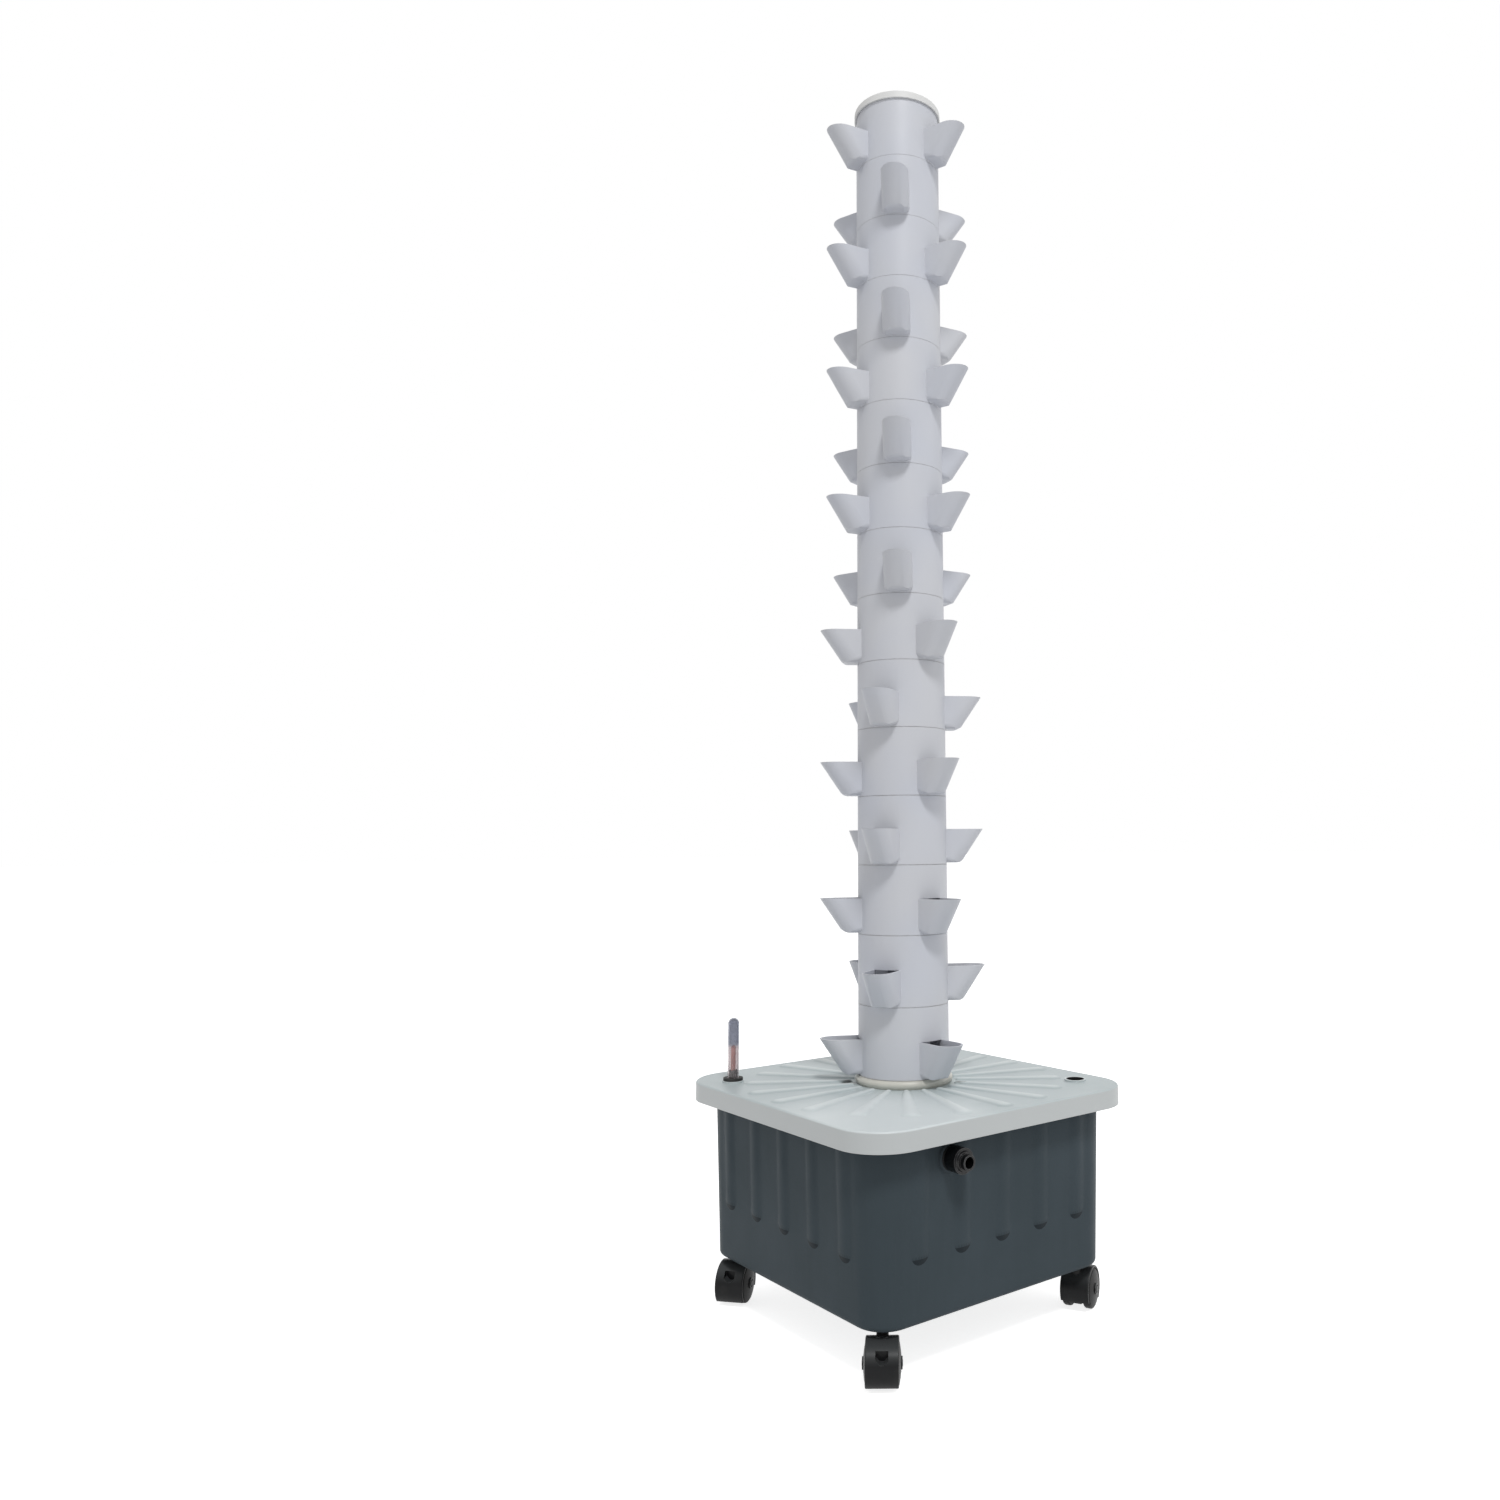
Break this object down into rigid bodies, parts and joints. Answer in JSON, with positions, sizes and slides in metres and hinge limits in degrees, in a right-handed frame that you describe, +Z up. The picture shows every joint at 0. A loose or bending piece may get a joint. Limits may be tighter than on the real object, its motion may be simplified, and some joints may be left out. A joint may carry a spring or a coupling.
{
  "type": "hydroponic tower",
  "caption": "Vertical hydroponic tower: stacked planter tiers with leaning pockets stand on a square ribbed nutrient tank with a lid, a level gauge, an inlet valve and castors.",
  "frame": {"origin": "centre of the tower's footprint on the floor, under the column's axis", "axes": "+Z up along the column, -Y out of the tank's side with the inlet valve, +X to the right when facing that side"},
  "size_m": [0.4, 0.4084, 1.54],
  "materials": {
    "tank_plastic": "fine-grained slate grey moulding, faint ribs",
    "lid_plastic": "pale grey-green moulding with a soft sheen",
    "collar_plastic": "ivory moulding",
    "tier_plastic": "smooth cool white moulding",
    "distributor_plastic": "light grey moulding",
    "pipe_plastic": "white extruded pipe",
    "pump_plastic": "black moulding",
    "impeller_plastic": "blue moulding",
    "rubber": "soft black rubber",
    "clear_tube": "clear tube, slightly blue-grey",
    "red_plastic": "red float plastic",
    "black_plastic": "glossy black moulding",
    "wheel_plastic": "black wheel with a satin tread",
    "steel": "bright plated steel",
    "brass": "brass strip"
  },
  "bodies": {
    "base": {"tank": "tank_plastic", "riser_pipe": "pipe_plastic", "pump_case": "pump_plastic", "pump_strainer": "pump_plastic", "pump_shaft": "steel", "pump_feet": "rubber", "valve_body": "black_plastic", "valve_gasket": "rubber", "valve_nut": "black_plastic", "valve_pin": "steel", "castor_front_left_stem": "steel", "castor_front_right_stem": "steel", "castor_back_left_stem": "steel", "castor_back_right_stem": "steel"},
    "lid": {"lid": "lid_plastic", "collar": "collar_plastic", "gauge_grommet": "rubber", "gauge_tube": "clear_tube"},
    "gauge_float": {"gauge_float": "red_plastic"},
    "impeller": {"pump_impeller": "impeller_plastic"},
    "valve_arm": {"valve_arm": "brass", "valve_ball": "red_plastic"},
    "cap": {"top_cap": "tier_plastic"},
    "tier_01": {"tier_01": "tier_plastic"},
    "tier_02": {"tier_02": "tier_plastic"},
    "tier_03": {"tier_03": "tier_plastic"},
    "tier_04": {"tier_04": "tier_plastic"},
    "tier_05": {"tier_05": "tier_plastic"},
    "tier_06": {"tier_06": "tier_plastic"},
    "tier_07": {"tier_07": "tier_plastic"},
    "tier_08": {"tier_08": "tier_plastic"},
    "tier_09": {"tier_09": "tier_plastic"},
    "tier_10": {"tier_10": "tier_plastic"},
    "tier_11": {"tier_11": "tier_plastic"},
    "tier_12": {"tier_12": "tier_plastic"},
    "tier_13": {"tier_13": "tier_plastic"},
    "tier_14": {"tier_14": "tier_plastic"},
    "tier_15": {"tier_15": "tier_plastic", "distributor": "distributor_plastic"},
    "front_left_fork": {"castor_front_left_hood": "black_plastic", "castor_front_left_axle": "steel"},
    "front_left_wheel_a": {"castor_front_left_wheel_a": "wheel_plastic"},
    "front_left_wheel_b": {"castor_front_left_wheel_b": "wheel_plastic"},
    "front_right_fork": {"castor_front_right_hood": "black_plastic", "castor_front_right_axle": "steel"},
    "front_right_wheel_a": {"castor_front_right_wheel_a": "wheel_plastic"},
    "front_right_wheel_b": {"castor_front_right_wheel_b": "wheel_plastic"},
    "back_left_fork": {"castor_back_left_hood": "black_plastic", "castor_back_left_axle": "steel"},
    "back_left_wheel_a": {"castor_back_left_wheel_a": "wheel_plastic"},
    "back_left_wheel_b": {"castor_back_left_wheel_b": "wheel_plastic"},
    "back_right_fork": {"castor_back_right_hood": "black_plastic", "castor_back_right_axle": "steel"},
    "back_right_wheel_a": {"castor_back_right_wheel_a": "wheel_plastic"},
    "back_right_wheel_b": {"castor_back_right_wheel_b": "wheel_plastic"}
  },
  "joints": [
    {"name": "lid_lift", "type": "slide", "parent": "base", "child": "lid", "axis": [0, 0, 1], "range_m": [0, 0.06]},
    {"name": "cap_lift", "type": "slide", "parent": "tier_15", "child": "cap", "axis": [0, 0, 1], "range_m": [0, 0.03]},
    {"name": "gauge_float_slide", "type": "slide", "parent": "lid", "child": "gauge_float", "axis": [0, 0, 1], "range_m": [-0.032, 0.028]},
    {"name": "valve_arm_swing", "type": "hinge", "parent": "base", "child": "valve_arm", "pos_m": [-0.078, -0.14969, 0.215], "axis": [1, 0, 0], "range_deg": [-35, 8]},
    {"name": "impeller_spin", "type": "hinge", "parent": "base", "child": "impeller", "pos_m": [0, 0, 0.085], "axis": [0, 1, 0], "continuous": true},
    {"name": "front_left_swivel", "type": "hinge", "parent": "base", "child": "front_left_fork", "pos_m": [-0.145, -0.145, 0.045], "axis": [0, 0, 1], "continuous": true},
    {"name": "front_right_swivel", "type": "hinge", "parent": "base", "child": "front_right_fork", "pos_m": [0.145, -0.145, 0.045], "axis": [0, 0, 1], "continuous": true},
    {"name": "back_left_swivel", "type": "hinge", "parent": "base", "child": "back_left_fork", "pos_m": [-0.145, 0.145, 0.045], "axis": [0, 0, 1], "continuous": true},
    {"name": "back_right_swivel", "type": "hinge", "parent": "base", "child": "back_right_fork", "pos_m": [0.145, 0.145, 0.045], "axis": [0, 0, 1], "continuous": true},
    {"name": "front_left_wheel_a_roll", "type": "hinge", "parent": "front_left_fork", "child": "front_left_wheel_a", "pos_m": [-0.15161, -0.15316, 0.022], "axis": [0.7771, -0.6293, 0], "continuous": true},
    {"name": "front_left_wheel_b_roll", "type": "hinge", "parent": "front_left_fork", "child": "front_left_wheel_b", "pos_m": [-0.15161, -0.15316, 0.022], "axis": [0.7771, -0.6293, 0], "continuous": true},
    {"name": "front_right_wheel_a_roll", "type": "hinge", "parent": "front_right_fork", "child": "front_right_wheel_a", "pos_m": [0.15444, -0.1404, 0.022], "axis": [-0.4384, 0.8988, 0], "continuous": true},
    {"name": "front_right_wheel_b_roll", "type": "hinge", "parent": "front_right_fork", "child": "front_right_wheel_b", "pos_m": [0.15444, -0.1404, 0.022], "axis": [-0.4384, 0.8988, 0], "continuous": true},
    {"name": "back_left_wheel_a_roll", "type": "hinge", "parent": "back_left_fork", "child": "back_left_wheel_a", "pos_m": [-0.15316, 0.13839, 0.022], "axis": [0.6293, -0.7771, 0], "continuous": true},
    {"name": "back_left_wheel_b_roll", "type": "hinge", "parent": "back_left_fork", "child": "back_left_wheel_b", "pos_m": [-0.15316, 0.13839, 0.022], "axis": [0.6293, -0.7771, 0], "continuous": true},
    {"name": "back_right_wheel_a_roll", "type": "hinge", "parent": "back_right_fork", "child": "back_right_wheel_a", "pos_m": [0.15025, 0.15409, 0.022], "axis": [-0.866, 0.5, 0], "continuous": true},
    {"name": "back_right_wheel_b_roll", "type": "hinge", "parent": "back_right_fork", "child": "back_right_wheel_b", "pos_m": [0.15025, 0.15409, 0.022], "axis": [-0.866, 0.5, 0], "continuous": true},
    {"name": "tier_01_turn", "type": "hinge", "parent": "lid", "child": "tier_01", "pos_m": [0, 0, 0.268], "axis": [0, 0, 1], "continuous": true},
    {"name": "tier_02_turn", "type": "hinge", "parent": "tier_01", "child": "tier_02", "pos_m": [0, 0, 0.3524], "axis": [0, 0, 1], "continuous": true},
    {"name": "tier_03_turn", "type": "hinge", "parent": "tier_02", "child": "tier_03", "pos_m": [0, 0, 0.4368], "axis": [0, 0, 1], "continuous": true},
    {"name": "tier_04_turn", "type": "hinge", "parent": "tier_03", "child": "tier_04", "pos_m": [0, 0, 0.5212], "axis": [0, 0, 1], "continuous": true},
    {"name": "tier_05_turn", "type": "hinge", "parent": "tier_04", "child": "tier_05", "pos_m": [0, 0, 0.6056], "axis": [0, 0, 1], "continuous": true},
    {"name": "tier_06_turn", "type": "hinge", "parent": "tier_05", "child": "tier_06", "pos_m": [0, 0, 0.69], "axis": [0, 0, 1], "continuous": true},
    {"name": "tier_07_turn", "type": "hinge", "parent": "tier_06", "child": "tier_07", "pos_m": [0, 0, 0.7744], "axis": [0, 0, 1], "continuous": true},
    {"name": "tier_08_turn", "type": "hinge", "parent": "tier_07", "child": "tier_08", "pos_m": [0, 0, 0.8588], "axis": [0, 0, 1], "continuous": true},
    {"name": "tier_09_turn", "type": "hinge", "parent": "tier_08", "child": "tier_09", "pos_m": [0, 0, 0.9432], "axis": [0, 0, 1], "continuous": true},
    {"name": "tier_10_turn", "type": "hinge", "parent": "tier_09", "child": "tier_10", "pos_m": [0, 0, 1.0276], "axis": [0, 0, 1], "continuous": true},
    {"name": "tier_11_turn", "type": "hinge", "parent": "tier_10", "child": "tier_11", "pos_m": [0, 0, 1.112], "axis": [0, 0, 1], "continuous": true},
    {"name": "tier_12_turn", "type": "hinge", "parent": "tier_11", "child": "tier_12", "pos_m": [0, 0, 1.1964], "axis": [0, 0, 1], "continuous": true},
    {"name": "tier_13_turn", "type": "hinge", "parent": "tier_12", "child": "tier_13", "pos_m": [0, 0, 1.2808], "axis": [0, 0, 1], "continuous": true},
    {"name": "tier_14_turn", "type": "hinge", "parent": "tier_13", "child": "tier_14", "pos_m": [0, 0, 1.3652], "axis": [0, 0, 1], "continuous": true},
    {"name": "tier_15_turn", "type": "hinge", "parent": "tier_14", "child": "tier_15", "pos_m": [0, 0, 1.4496], "axis": [0, 0, 1], "continuous": true}
  ]
}
